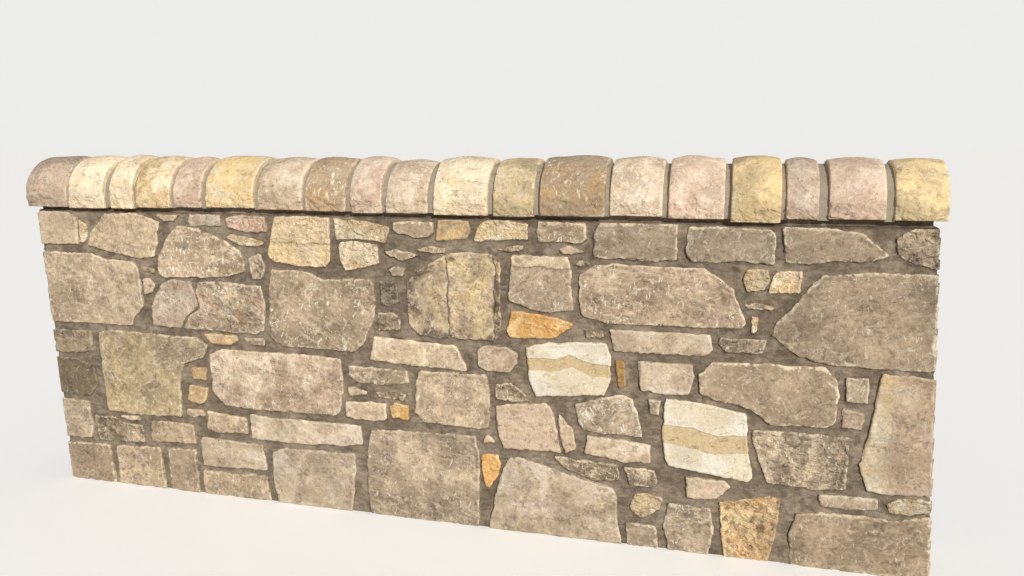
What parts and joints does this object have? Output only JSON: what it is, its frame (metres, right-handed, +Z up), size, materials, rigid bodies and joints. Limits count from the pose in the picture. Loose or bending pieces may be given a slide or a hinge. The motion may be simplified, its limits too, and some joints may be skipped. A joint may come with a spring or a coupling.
{
  "type": "mortared rubble garden wall",
  "caption": "Free-standing straight wall of random rubble sandstone bedded in mortar, squared quoins at both ends, under a half-round stone cope.",
  "frame": {"origin": "middle of the wall's length and thickness, on the ground", "axes": "+X along the wall, towards the end that leans out at its foot; +Y to the back; +Z up"},
  "size_m": [3.43, 0.33, 1.389],
  "materials": {
    "pointing_mortar": "rough, sandy, brushed back behind the stones",
    "cope_sandstone": "rock-faced sandstone, pitched edges",
    "quoin_sandstone": "riven sandstone with squared corners",
    "buff_sandstone": "riven sandstone",
    "grey_sandstone": "riven sandstone, weathered",
    "pink_sandstone": "riven sandstone, pinkish",
    "cream_sandstone": "sawn and riven sandstone with rust-coloured bands",
    "ochre_sandstone": "split sandstone chips"
  },
  "bodies": {
    "root": {"mortar": "pointing_mortar", "cope_bed": "pointing_mortar", "cope_joints": "pointing_mortar", "left_quoins": "quoin_sandstone", "right_quoins": "quoin_sandstone", "front_top_stones": "buff_sandstone", "front_upper_stones": "grey_sandstone", "front_middle_stones": "pink_sandstone", "front_lower_stones": "cream_sandstone", "front_foot_stones": "buff_sandstone", "front_pinnings": "ochre_sandstone", "back_top_stones": "buff_sandstone", "back_upper_stones": "grey_sandstone", "back_middle_stones": "pink_sandstone", "back_lower_stones": "cream_sandstone", "back_foot_stones": "buff_sandstone", "back_pinnings": "ochre_sandstone", "cope_01": "cope_sandstone", "cope_02": "cope_sandstone", "cope_03": "cope_sandstone", "cope_04": "cope_sandstone", "cope_05": "cope_sandstone", "cope_06": "cope_sandstone", "cope_07": "cope_sandstone", "cope_08": "cope_sandstone", "cope_09": "cope_sandstone", "cope_10": "cope_sandstone", "cope_11": "cope_sandstone", "cope_12": "cope_sandstone", "cope_13": "cope_sandstone", "cope_14": "cope_sandstone", "cope_15": "cope_sandstone", "cope_16": "cope_sandstone", "cope_17": "cope_sandstone", "cope_18": "cope_sandstone", "cope_19": "cope_sandstone"}
  },
  "joints": []
}
